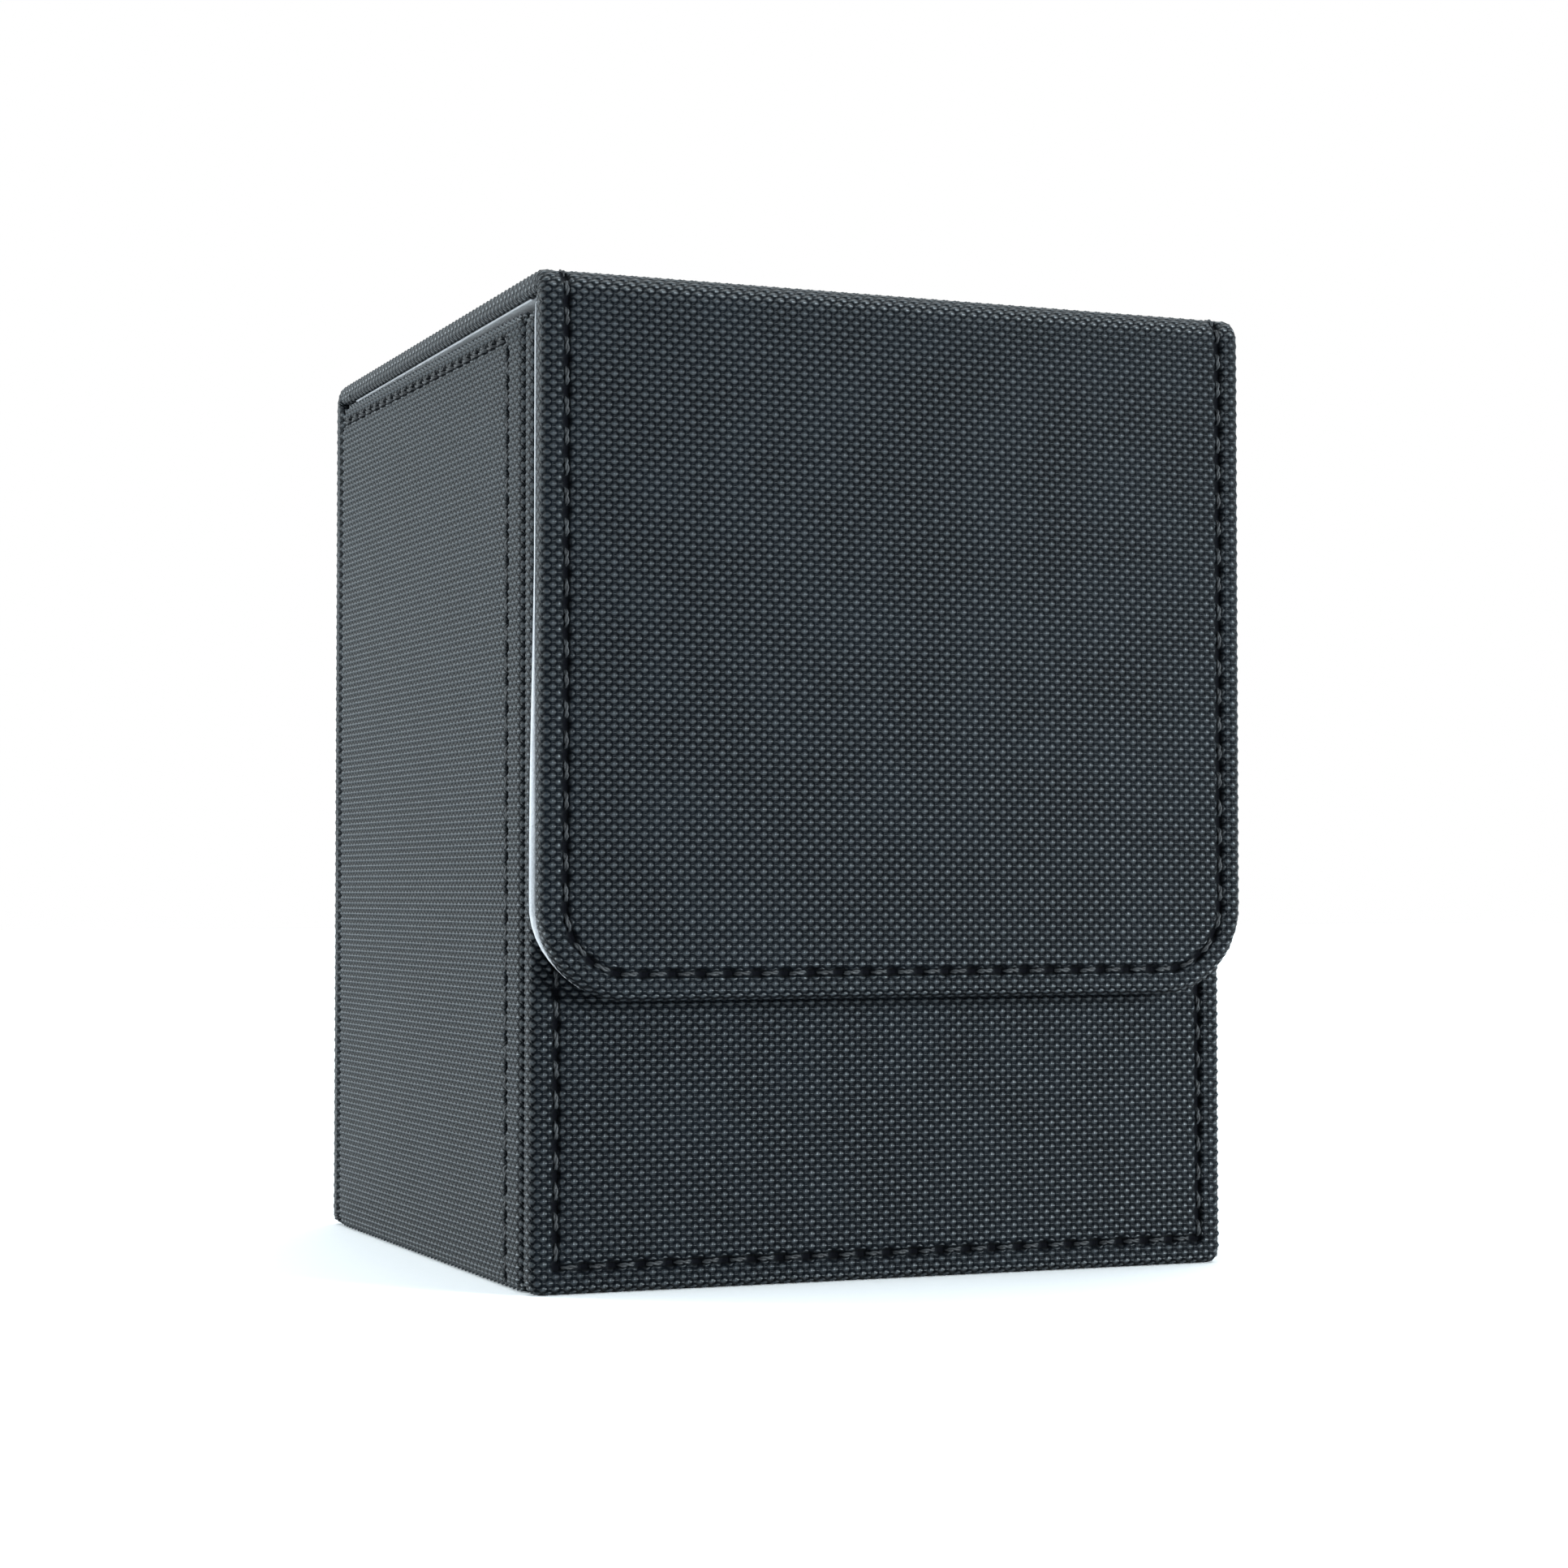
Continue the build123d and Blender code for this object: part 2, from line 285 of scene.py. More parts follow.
def set_value(mesh, name, values):
    """A float attribute from one value for each vertex."""
    layer = mesh.attributes.new(name, "FLOAT", "POINT")
    layer.data.foreach_set("value", np.asarray(values, np.float32).ravel())


def smoothstep(low, high, value):
    t = np.clip((value - low) / (high - low), 0, 1)
    return t * t * (3 - 2 * t)


# ---------------------------------------------------------------- stitch paths
def rounded(points, radius=0.0, steps=8):
    """A polyline with its corners rounded."""
    points = [np.array(p, float) for p in points]
    path = [points[0]]
    for before, corner, after in zip(points, points[1:], points[2:]):
        into = (corner - before) / np.linalg.norm(corner - before)
        away = (after - corner) / np.linalg.norm(after - corner)
        if radius > 0:
            for share in np.linspace(0, 1, steps + 1):
                turn = share * pi / 2
                short_of = into * radius * (1 - sin(turn))
                path.append(corner - short_of + away * radius * (1 - cos(turn)))
        else:
            path.append(corner)
    path.append(points[-1])
    return np.array(path)


def path_length(path):
    return np.linalg.norm(np.diff(path, axis=0), axis=1).sum()


def near_path(path, x, y):
    """Each point's distance from a path, and how far along the path it lies."""
    best = np.full(x.shape, 1e9)
    place = np.zeros(x.shape)
    travelled = 0.0
    for a, b in zip(path, path[1:]):
        run = b - a
        length = np.linalg.norm(run)
        run = run / length
        t = np.clip((x - a[0]) * run[0] + (y - a[1]) * run[1], 0, length)
        gap = np.hypot(x - a[0] - t * run[0], y - a[1] - t * run[1])
        closer = gap < best
        best = np.where(closer, gap, best)
        place = np.where(closer, travelled + t, place)
        travelled += length
    return best, place


def stitch_pitch(path):
    length = path_length(path)
    return length / round(length / PITCH)


def pressed(paths, x, y):
    """How far the sewing pulls the skin in, how far it flattens the emboss, and its holes."""
    depth = np.zeros(x.shape)
    flat = np.zeros(x.shape)
    holes = np.zeros(x.shape)
    for path in paths:
        gap, place = near_path(path, x, y)
        pitch = stitch_pitch(path)
        from_hole = np.abs(place - pitch * np.round(place / pitch))
        hole = np.exp(-((from_hole / HOLE_LENGTH) ** 4) - (gap / HOLE_WIDTH) ** 4)
        groove = np.exp(-((gap / CHANNEL_WIDTH) ** 2))
        pinch = np.exp(-((gap / (3 * CHANNEL_WIDTH)) ** 2))
        channel = (groove + pinch / 3) * CHANNEL_DEPTH
        depth = np.maximum(depth, channel + hole * HOLE_DEPTH)
        flat = np.maximum(flat, np.exp(-((gap / (1.1 * CHANNEL_WIDTH)) ** 4)))
        holes = np.maximum(holes, hole)
    return depth, flat, holes


# ---------------------------------------------------------------- skins
def edge_profile(beyond, rolls, thickness):
    """Where the skin lies, at a length beyond the flat: outward, down, and its normal's tilt."""
    first, second = rolls
    bend = first * pi / 2
    side = bend + thickness - first - second
    beyond = np.maximum(beyond, 0)
    tilt = np.clip(beyond / first, 0, pi / 2)
    out = first * np.sin(tilt)
    depth = first * (1 - np.cos(tilt)) + np.clip(beyond - bend, 0, side - bend)
    last = np.clip((beyond - side) / second, 0, pi / 2)
    out = out - second * (1 - np.cos(last))
    depth = depth + second * np.sin(last)
    return out, depth, tilt + last


def band_length(rolls, thickness):
    return (rolls[0] + rolls[1]) * pi / 2 + thickness - rolls[0] - rolls[1]


def mesh_lines(low, high, step, origin=0.0, fine=()):
    """Places of the mesh lines from low to high, on the emboss, and closer together near sewing."""
    first = np.ceil((low - origin) / step + 1e-6)
    last = np.floor((high - origin) / step - 1e-6)
    lines = [low, *(origin + step * np.arange(first, last + 1)), high]
    for place in fine:
        near = origin + step * (np.arange(first, last) + 0.5)
        lines.extend(near[np.abs(near - place) < FINE_REACH])
    lines = np.unique(np.round(lines, 5))
    keep = np.concatenate([[True], np.diff(lines) > 0.1 * step])
    return lines[keep]


def with_end_strips(lines, open_ends):
    """Adds a line just inside each open end, so that the end's face doesn't shade the skin."""
    extra = [lines[0] + END_STRIP] if open_ends[0] else []
    extra += [lines[-1] - END_STRIP] if open_ends[1] else []
    return np.sort(np.concatenate([lines, extra]))


def emboss(x_turns, y_turns):
    """The crossed rows of bumps, from -1 in the grooves to 1 on the crowns."""
    return np.cos(2 * pi * x_turns) * np.cos(2 * pi * y_turns)


def outline_grid(p, q, half, flat_low, flat_high, radii, open_ends):
    """Each grid point's foot on the flat, its way outward and its length beyond the flat."""
    way_x, way_y = np.zeros(p.shape), np.zeros(p.shape)
    foot_x, foot_y = p.copy(), q.copy()
    beyond = np.full(p.shape, -1.0)
    side = np.sign(p)
    middle = (flat_low + flat_high) / 2
    for end, (edge, upward) in enumerate(((flat_low, -1), (flat_high, 1))):
        radius = radii[end]
        mine = (q - middle) * upward >= 0
        across = np.abs(p) - (half - radius)
        along = -np.ones(p.shape) if open_ends[end] else upward * (q - edge) + radius
        corner = mine & (across > 0) & (along > 0)
        reach = np.where(corner, np.maximum(across, along), 1)
        share = np.minimum(across, along) / reach * pi / 4
        angle = np.where(across >= along, share, pi / 2 - share)
        shown = np.minimum(reach, radius)
        way_x = np.where(corner, side * np.cos(angle), way_x)
        way_y = np.where(corner, upward * np.sin(angle), way_y)
        foot_x = np.where(corner, side * (half - radius + np.cos(angle) * shown), foot_x)
        foot_y = np.where(corner, edge + upward * (np.sin(angle) * shown - radius), foot_y)
        beyond = np.where(corner, reach - radius, beyond)
        ends = mine & ~corner & (along > radius)
        way_y = np.where(ends, upward, way_y)
        foot_y = np.where(ends, edge, foot_y)
        beyond = np.where(ends, along - radius, beyond)
        sides = mine & ~corner & (across > radius)
        way_x = np.where(sides, side, way_x)
        foot_x = np.where(sides, side * half, foot_x)
        beyond = np.where(sides, across - radius, beyond)
    return foot_x, foot_y, way_x, way_y, beyond


def panel(name, place, width, low, high, thickness, rolls, radii, open_ends, lines, lift):
    """A closed sheet with rolled edges. lift gives each point's height and the values it carries."""
    half = width / 2 - rolls[0]
    flat_low = low if open_ends[0] else low + rolls[0]
    flat_high = high if open_ends[1] else high - rolls[0]
    p, q = np.meshgrid(*lines)
    rows, columns = p.shape
    flat_radii = [max(radius - rolls[0], 0.0) for radius in radii]
    foot_x, foot_y, way_x, way_y, beyond = outline_grid(
        p, q, half, flat_low, flat_high, flat_radii, open_ends
    )
    out, depth, tilt = edge_profile(beyond, rolls, thickness)
    past = np.maximum(beyond, 0)
    skin_x, skin_y = foot_x + way_x * past, foot_y + way_y * past
    plan_x, plan_y = foot_x + way_x * out, foot_y + way_y * out
    height, maps, values = lift(skin_x, skin_y, plan_x, plan_y, beyond)
    points = place.point(plan_x, plan_y, depth)
    normals = place.vector(way_x * np.sin(tilt), way_y * np.sin(tilt), np.cos(tilt), plan_y)
    points = points + normals * height[..., None]
    points[..., 2] = np.maximum(points[..., 2], 0)
    faces = grid_faces(rows, columns).tolist()
    outer = len(faces)
    index = np.arange(rows * columns).reshape(rows, columns)
    if any(open_ends):
        closing = [[row[0][-1], row[0][0], row[1][0], row[1][-1]] for row in zip(index, index[1:])]
        faces.extend([[int(v) for v in face] for face in closing])
        faces.append(index[0][::-1].tolist())
        faces.append(index[-1].tolist())
    else:
        faces.append(grid_border(rows, columns)[::-1].tolist())
    smooth = [True] * outer + [False] * (len(faces) - outer)
    piece = new_object(name, points.reshape(-1, 3), faces, smooth)
    mesh = piece.data
    corner_vertex = np.zeros(len(mesh.loops), int)
    mesh.loops.foreach_get("vertex_index", corner_vertex)
    capped = (np.arange(len(mesh.loops)) >= 4 * outer)[:, None]
    for map_name, (on_skin, on_plan) in maps.items():
        set_map(mesh, map_name, np.where(capped, on_plan[corner_vertex], on_skin[corner_vertex]))
    share_x = (p - p.min()) / (p.max() - p.min())
    share_y = (q - q.min()) / (q.max() - q.min())
    layout = np.stack([share_x, share_y], axis=-1).reshape(-1, 2)[corner_vertex]
    on_cap = layout * (0.24, 0.9) + (0.75, 0.02)
    on_sheet = layout * (0.72, 0.98) + (0.01, 0.01)
    set_map(mesh, "OFBake", np.where(capped, on_cap, on_sheet))
    for value_name, value in values.items():
        set_value(mesh, value_name, value)
    return piece


def as_pairs(x, y):
    return np.stack([x, y], axis=-1).reshape(-1, 2)


def skin(name, place, width, low, high, turns, radii=(0.0, 0.0), rolls=(ROLL, SEAM_ROLL),
         open_ends=(False, False), paths=(), coarse=1.0, thickness=THICKNESS,
         edge_bumps=EDGE_BUMPS, fold_bumps=0.0, raised=1.0):
    """An embossed leatherette skin over one panel. turns are the bumps counted at low and high."""
    band = band_length(rolls, thickness)
    facing = -1 if place.across[0] < 0 else 1
    per_turn = (high - low) / (turns[1] - turns[0])
    start = low - turns[0] * per_turn
    half = width / 2 - rolls[0]
    first = low if open_ends[0] else low + rolls[0] - band
    last = high if open_ends[1] else high - rolls[0] + band
    straight = [(a, b) for path in paths for a, b in zip(path, path[1:])]
    fine_x = {round(a[0], 3) for a, b in straight if abs(a[0] - b[0]) < 1e-6}
    fine_y = {round(a[1], 3) for a, b in straight if abs(a[1] - b[1]) < 1e-6}
    lines = (
        mesh_lines(-half - band, half + band, coarse * EMBOSS_X / SAMPLES, 0.0, fine_x),
        with_end_strips(mesh_lines(first, last, coarse * per_turn / SAMPLES, start, fine_y), open_ends),
    )

    def lift(skin_x, skin_y, plan_x, plan_y, beyond):
        pull, flat, holes = pressed(paths, skin_x, skin_y)
        x_turns, y_turns = facing * skin_x / EMBOSS_X, (skin_y - start) / per_turn
        fading = 1 - smoothstep(band - EMBOSS_ENDS[0], band - EMBOSS_ENDS[1], beyond)
        relief = raised * fading * (1 + edge_bumps * smoothstep(0, rolls[0], beyond))
        if all(open_ends):
            relief = relief * (1 + fold_bumps * np.sin(pi * (skin_y - low) / (high - low)) ** 2)
        crossed = emboss(x_turns, y_turns) * (1 - flat) * relief
        bumps = EMBOSS_HEIGHT * (crossed - EMBOSS_SINK * fading)
        on_skin = as_pairs(x_turns, y_turns)
        on_plan = as_pairs(facing * plan_x / EMBOSS_X, (plan_y - start) / per_turn)
        values = {"relief": relief, "flattened": flat, "hole": holes}
        return np.maximum(bumps - pull, -DEEPEST), {"emboss": (on_skin, on_plan)}, values

    return panel(name, place, width, low, high, thickness, rolls, radii, open_ends, lines, lift)


def suede(name, place, width, low, high, thickness=SUEDE_THICK, radii=(0.0, 0.0),
          rolls=SUEDE_ROLLS, open_ends=(False, False), wave=SUEDE_WAVE, spread=None):
    """A suede lining. place faces its napped side, and spread moves its edge in or out."""
    band = band_length(rolls, thickness)
    half = width / 2 - rolls[0]
    edge = np.linspace(0, band, 8)
    first = low + (0 if open_ends[0] else rolls[0])
    last = high - (0 if open_ends[1] else rolls[0])
    middle = np.linspace(-half, half, int(width / SUEDE_STEP))
    across = np.concatenate([-half - edge, middle, half + edge])
    along = [np.linspace(first, last, max(int((last - first) / SUEDE_STEP), 12))]
    along += [] if open_ends[0] else [first - edge]
    along += [] if open_ends[1] else [last + edge]
    along = np.unique(np.round(np.concatenate(along), 5))
    lines = (np.unique(np.round(across, 5)), with_end_strips(along, open_ends))

    def lift(skin_x, skin_y, plan_x, plan_y, beyond):
        across_wave = np.sin(skin_x * 0.21 + 1.3 * np.sin(skin_y * 0.09))
        swell = wave * across_wave * np.sin(skin_y * 0.17 + 0.6)
        ends = np.ones(skin_y.shape)
        for is_open, limit in zip(open_ends, (low, high)):
            if is_open:
                ends = ends * smoothstep(0, 6, np.abs(skin_y - limit))
        inside = smoothstep(0, 4, -beyond) * ends
        extra = 0 if spread is None else spread(plan_x, plan_y) * smoothstep(-0.2, 0.1, beyond)
        return swell * inside + extra, {"emboss": (as_pairs(skin_x, skin_y),) * 2}, {}

    return panel(name, place, width, low, high, thickness, rolls, radii, open_ends, lines, lift)


# ---------------------------------------------------------------- thread
def tube(centres, normals, radius):
    """Rings of points round a strand, one for each of its centres."""
    ahead = np.gradient(centres, axis=0)
    ahead /= np.linalg.norm(ahead, axis=1)[:, None]
    across = np.cross(ahead, normals)
    across /= np.linalg.norm(across, axis=1)[:, None]
    up = np.cross(across, ahead)
    turn = np.linspace(0, 2 * pi, STRAND_SIDES, endpoint=False)[None, :, None]
    ring = np.cos(turn) * across[:, None] + np.sin(turn) * up[:, None]
    return centres[:, None] + radius * ring


def stitching(name, place, paths):
    """The thread of one panel: twisted plies that arch from one needle hole to the next."""
    points, faces, count = [], [], 0
    random = np.random.default_rng(len(name))
    none = np.zeros(STITCH_RINGS)
    share = np.linspace(*STITCH_ENDS, STITCH_RINGS)
    rise = smoothstep(*STITCH_RISE, share) * smoothstep(*STITCH_RISE, 1 - share)
    swell = 0.55 + 0.45 * rise
    for path in paths:
        pitch = stitch_pitch(path)
        runs = np.linalg.norm(np.diff(path, axis=0), axis=1)
        lengths = np.concatenate([[0], np.cumsum(runs)])
        for stitch in range(round(path_length(path) / pitch)):
            along = (stitch + share) * pitch
            x = np.interp(along, lengths, path[:, 0])
            y = np.interp(along, lengths, path[:, 1])
            ahead = np.stack([np.gradient(x), np.gradient(y)], axis=-1)
            ahead /= np.linalg.norm(ahead, axis=1)[:, None]
            lean = (0.10 + 0.03 * random.standard_normal()) * (share - 0.5) * 2
            depth = STITCH_SUNK - STITCH_ARCH * rise + 0.02 * random.standard_normal()
            start = random.uniform(0, 2 * pi)
            for ply in range(PLIES):
                twist = start + 2 * pi * (share * PLY_TURNS + ply / PLIES)
                aside = lean + 0.85 * STRAND * swell * np.cos(twist)
                sink = depth - 0.6 * STRAND * np.sin(twist)
                px = x - ahead[:, 1] * aside
                py = y + ahead[:, 0] * aside
                centres = place.point(px, py, sink)
                normals = place.vector(none, none, none + 1, py)
                ring = tube(centres, normals, STRAND * swell[:, None, None])
                points.append(ring.reshape(-1, 3))
                index = np.arange(STITCH_RINGS * STRAND_SIDES).reshape(STITCH_RINGS, STRAND_SIDES)
                index = count + index
                after = np.roll(index, -1, axis=1)
                quads = np.stack([index[:-1], after[:-1], after[1:], index[1:]], axis=-1)
                faces.extend(quads.reshape(-1, 4).tolist())
                faces.append(index[0][::-1].tolist())
                faces.append(index[-1].tolist())
                count += index.size
    return new_object(name, np.concatenate(points), faces)


# ---------------------------------------------------------------- materials
class Nodes:
    """Builds one material's node tree."""

    def __init__(self, name):
        self.material = bpy.data.materials.new(name)
        self.material.use_nodes = True
        self.tree = self.material.node_tree
        self.shader = self.tree.nodes["Principled BSDF"]

    def add(self, kind, **settings):
        node = self.tree.nodes.new(kind)
        for key, value in settings.items():
            setattr(node, key, value)
        return node

    def link(self, source, target):
        self.tree.links.new(source, target)

    def put(self, socket, value):
        if isinstance(value, bpy.types.NodeSocket):
            self.link(value, socket)
        else:
            socket.default_value = value

    def math(self, operation, a, b=0.0, c=0.0, clamp=False):
        node = self.add("ShaderNodeMath", operation=operation, use_clamp=clamp)
        for socket, value in zip(node.inputs, (a, b, c)):
            self.put(socket, value)
        return node.outputs[0]

    def map(self, name):
        uv = self.add("ShaderNodeUVMap", uv_map=name)
        return uv.outputs[0]

    def value(self, name):
        return self.add("ShaderNodeAttribute", attribute_name=name).outputs["Fac"]

    def object_place(self):
        return self.add("ShaderNodeTexCoord").outputs["Object"]

    def noise(self, vector, scale, detail=2.0, rough=0.5):
        node = self.add("ShaderNodeTexNoise")
        self.put(node.inputs["Vector"], vector)
        node.inputs["Scale"].default_value = scale
        node.inputs["Detail"].default_value = detail
        node.inputs["Roughness"].default_value = rough
        return node.outputs["Fac"]

    def ramp(self, value, low, high, to_low=0.0, to_high=1.0):
        node = self.add("ShaderNodeMapRange", interpolation_type="SMOOTHSTEP")
        for socket, number in zip(node.inputs, (value, low, high, to_low, to_high)):
            self.put(socket, number)
        return node.outputs[0]

    def mix(self, factor, a, b):
        node = self.add("ShaderNodeMix", data_type="RGBA")
        self.put(node.inputs[0], factor)
        for socket, colour in ((node.inputs[6], a), (node.inputs[7], b)):
            self.put(socket, colour if isinstance(colour, bpy.types.NodeSocket) else (*colour, 1))
        return node.outputs[2]

    def bump(self, height):
        """Bumps the surface by a height in millimetres."""
        node = self.add("ShaderNodeBump")
        node.inputs["Strength"].default_value = 1.0
        node.inputs["Distance"].default_value = MM
        self.put(node.inputs["Height"], height)
        self.link(node.outputs[0], self.shader.inputs["Normal"])

    def surface(self, colour, roughness, **constants):
        self.put(self.shader.inputs["Base Color"], colour)
        self.put(self.shader.inputs["Roughness"], roughness)
        for name, value in constants.items():
            self.shader.inputs[name.replace("_", " ")].default_value = value


def leatherette():
    """Charcoal PU with crossed rows of pillows, each with a crown at one end and a ridge. Painted shade
    darkens its grooves and needle holes, in its colour and in its gloss.
    """
    n = Nodes("leatherette")
    uv = n.add("ShaderNodeSeparateXYZ")
    n.link(n.map("emboss"), uv.inputs[0])
    u, v = uv.outputs[0], uv.outputs[1]
    place = n.object_place()
    wobble = n.noise(place, 900.0, 1.0)
    # The two crossed rows: each phase puts its groove on the cell's border, wobble and all.
    phases = [n.math("MULTIPLY_ADD", wobble, size, 0.5 - size / 2) for size in WOBBLE]
    rising = n.math("ADD", n.math("ADD", u, v), phases[0])
    falling = n.math("ADD", n.math("SUBTRACT", u, v), phases[1])
    f = n.math("SUBTRACT", n.math("FRACT", rising), 0.5)
    g = n.math("SUBTRACT", n.math("FRACT", falling), 0.5)
    across = n.math("MULTIPLY", n.math("ADD", f, g), 0.5)
    along = n.math("MULTIPLY", n.math("SUBTRACT", f, g), 0.5)

    steep = n.math("MAXIMUM", n.math("ABSOLUTE", f), n.math("ABSOLUTE", g))
    facets = n.math("MULTIPLY_ADD", steep, -2.0, 1.0)
    aside = n.math("SUBTRACT", across, DOME_MIDDLE)
    wide = n.math("DIVIDE", aside, DOME_WIDTH)
    tall = n.math("DIVIDE", along, DOME_HEIGHT)
    fall = n.math("MULTIPLY_ADD", wide, wide, n.math("MULTIPLY", tall, tall))
    dome = n.math("SMOOTH_MAX", n.math("SUBTRACT", 1.0, fall), 0.0, 0.1)
    thin = n.math("EXPONENT", n.math("MULTIPLY", n.math("MULTIPLY", along, along), -TAIL_THIN))
    tail = n.math("MULTIPLY", thin, n.ramp(aside, 0.05, -0.25))
    shape = n.math("MULTIPLY_ADD", dome, DOME_SHARE, n.math("MULTIPLY", facets, 1 - DOME_SHARE))
    shape = n.math("MULTIPLY_ADD", tail, TAIL_HEIGHT, shape)
    lit = n.math("MULTIPLY_ADD", tail, 0.35, dome)

    # The bump adds what the mesh doesn't already have.
    waves = [n.math("COSINE", n.math("MULTIPLY", turns, 2 * pi)) for turns in (u, v)]
    crossed = n.math("MULTIPLY", *waves)
    built = n.math("MULTIPLY", n.math("MULTIPLY", crossed, EMBOSS_HEIGHT), n.value("relief"))
    wanted = n.math("MULTIPLY", shape, EMBOSS_SHADE * EMBOSS_HEIGHT)
    wanted = n.math("MULTIPLY", wanted, n.math("MAXIMUM", n.value("relief"), 1.0))
    open_skin = n.math("SUBTRACT", 1.0, n.value("flattened"), clamp=True)
    residue = n.math("MULTIPLY", n.math("SUBTRACT", wanted, built), open_skin)
    grain = n.math("MULTIPLY", n.noise(place, 5200.0, 3.0), 0.010)
    hole = n.value("hole")
    n.bump(n.math("MULTIPLY_ADD", hole, -0.5, n.math("ADD", residue, grain)))

    worn = n.noise(place, 140.0, 4.0)
    # painted shade: the colour darkens from the crowns down into the grooves
    crown = n.ramp(n.math("MULTIPLY", shape, open_skin), 0.45, 0.95)
    colour = n.mix(crown, LEATHER_GROOVE_SHADE, LEATHER_CROWN)
    colour = n.mix(n.math("MULTIPLY", n.ramp(worn, 0.3, 0.8), 0.15), colour, LEATHER_WORN)
    # painted shade: the needle holes are painted near black
    colour = n.mix(n.math("MULTIPLY", hole, 0.95, clamp=True), colour, HOLE_PAINTED_SHADE)
    uneven = n.math("MULTIPLY_ADD", n.noise(place, 240.0), 0.06, n.math("MULTIPLY", hole, 0.5))
    roughness = n.math("ADD", n.ramp(crown, 0.0, 1.0, 0.46, 0.40), uneven)
    # painted shade: the gloss is tinted dark in the grooves and needle holes, for the shade there; the
    # pressed channels keep a little more
    crowns = n.math("MULTIPLY", n.ramp(lit, 0.05, 0.60), open_skin)
    bare = n.math("MULTIPLY_ADD", n.value("flattened"), 0.25, crowns)
    shine_out_of_shade = n.math("MULTIPLY", bare, n.math("SUBTRACT", 1.0, hole, clamp=True), clamp=True)
    n.link(n.mix(shine_out_of_shade, GROOVE_SHADED_SHINE, CROWN_SHINE), n.shader.inputs["Specular Tint"])
    n.surface(colour, roughness, IOR=1.48)
    return n.material


def suede_material():
    """Pale suede with a short nap that lies both ways in soft patches."""
    n = Nodes("suede")
    place = n.object_place()
    nap = n.noise(place, 2600.0, 4.0, 0.75)
    patch = n.noise(place, 120.0, 3.0)
    streak = n.noise(place, 650.0, 2.0)
    colour = n.mix(n.ramp(patch, 0.35, 0.68), SUEDE_DARK, SUEDE_LIGHT)
    colour = n.mix(n.math("MULTIPLY", n.ramp(nap, 0.3, 0.7), 0.3), colour, SUEDE_TIP)
    n.bump(n.math("ADD", n.math("MULTIPLY", nap, 0.22), n.math("MULTIPLY", streak, 0.06)))
    roughness = n.ramp(nap, 0.2, 0.8, 0.98, 0.85)
    n.surface(colour, roughness, Sheen_Weight=0.35, Sheen_Roughness=0.5, Specular_IOR_Level=0.2)
    return n.material


def thread_material():
    """Black polyester thread: fine filaments that catch the light."""
    n = Nodes("thread")
    place = n.object_place()
    filament = n.noise(place, 9000.0, 2.0)
    tone = n.noise(place, 700.0, 2.0)
    colour = n.mix(n.ramp(tone, 0.3, 0.7), THREAD_DARK, THREAD_LIGHT)
    n.bump(n.math("MULTIPLY", filament, 0.03))
    n.surface(colour, n.ramp(filament, 0.2, 0.8, 0.45, 0.7), Specular_IOR_Level=0.35)
    return n.material


def greyboard_material():
    """Board faced with black paper, with flecks and a soft unevenness."""
    n = Nodes("greyboard")
    place = n.object_place()
    fleck = n.noise(place, 1400.0, 4.0, 0.7)
    cloud = n.noise(place, 90.0, 2.0)
    colour = n.mix(n.ramp(cloud, 0.3, 0.7), BOARD_DARK, BOARD_LIGHT)
    colour = n.mix(n.math("MULTIPLY", n.ramp(fleck, 0.6, 0.75), 0.6), colour, BOARD_FLECK)
    n.bump(n.math("MULTIPLY", fleck, 0.05))
    n.surface(colour, n.ramp(fleck, 0.3, 0.7, 0.95, 0.8))
    return n.material


def magnet_material():
    """Nickel plate with a faint orange-peel and handling marks."""
    n = Nodes("magnet")
    place = n.object_place()
    peel = n.noise(place, 1600.0, 2.0)
    marks = n.noise(place, 300.0, 3.0)
    colour = n.mix(n.ramp(marks, 0.35, 0.7), NICKEL_DULL, NICKEL_BRIGHT)
    n.bump(n.math("MULTIPLY", peel, 0.004))
    n.surface(colour, n.ramp(marks, 0.3, 0.7, 0.18, 0.34), Metallic=1.0)
    return n.material


def floor_material():
    """Matt white paper."""
    n = Nodes("floor")
    fibre = n.noise(n.object_place(), 900.0, 3.0)
    n.surface(n.mix(fibre, PAPER_DARK, PAPER_LIGHT), n.ramp(fibre, 0.2, 0.8, 0.85, 0.95))
    return n.material


skin_look = leatherette()
suede_look = suede_material()
thread_look = thread_material()
greyboard_look = greyboard_material()
magnet_look = magnet_material()

# ---------------------------------------------------------------- the box's own sizes
front_low, front_high = box_mm("front_cover")
back_low, back_high = box_mm("back_cover")
flap_low, flap_high = box_mm("flap_cover")
box_width = front_high[0] - front_low[0]
wall_height = front_high[2]
front_face = front_low[1]
back_face = back_high[1]
flap_face = flap_low[1]
wrap_width = back_high[0] - back_low[0]
side_front = front_face + THICKNESS
side_back = back_face - THICKNESS
side_middle = (side_front + side_back) / 2
side_length = side_back - side_front
inner_width = box_width - 2 * THICKNESS
lining_top = box_mm("back_lining")[1][2]
flap_length = flap_high[2] - flap_low[2]
fold_radius = back_face - box_mm("lid_hinge_cover")[0][1]
back_fold = (back_face - fold_radius, back_high[2])
front_fold = (flap_face + fold_radius, flap_high[2])
lid_run = np.array([back_fold[0] - front_fold[0], front_fold[1] - back_fold[1]])
lid_length = np.linalg.norm(lid_run)
tilt = np.arctan2(lid_run[1], lid_run[0])
tilt_degrees = float(np.degrees(tilt))

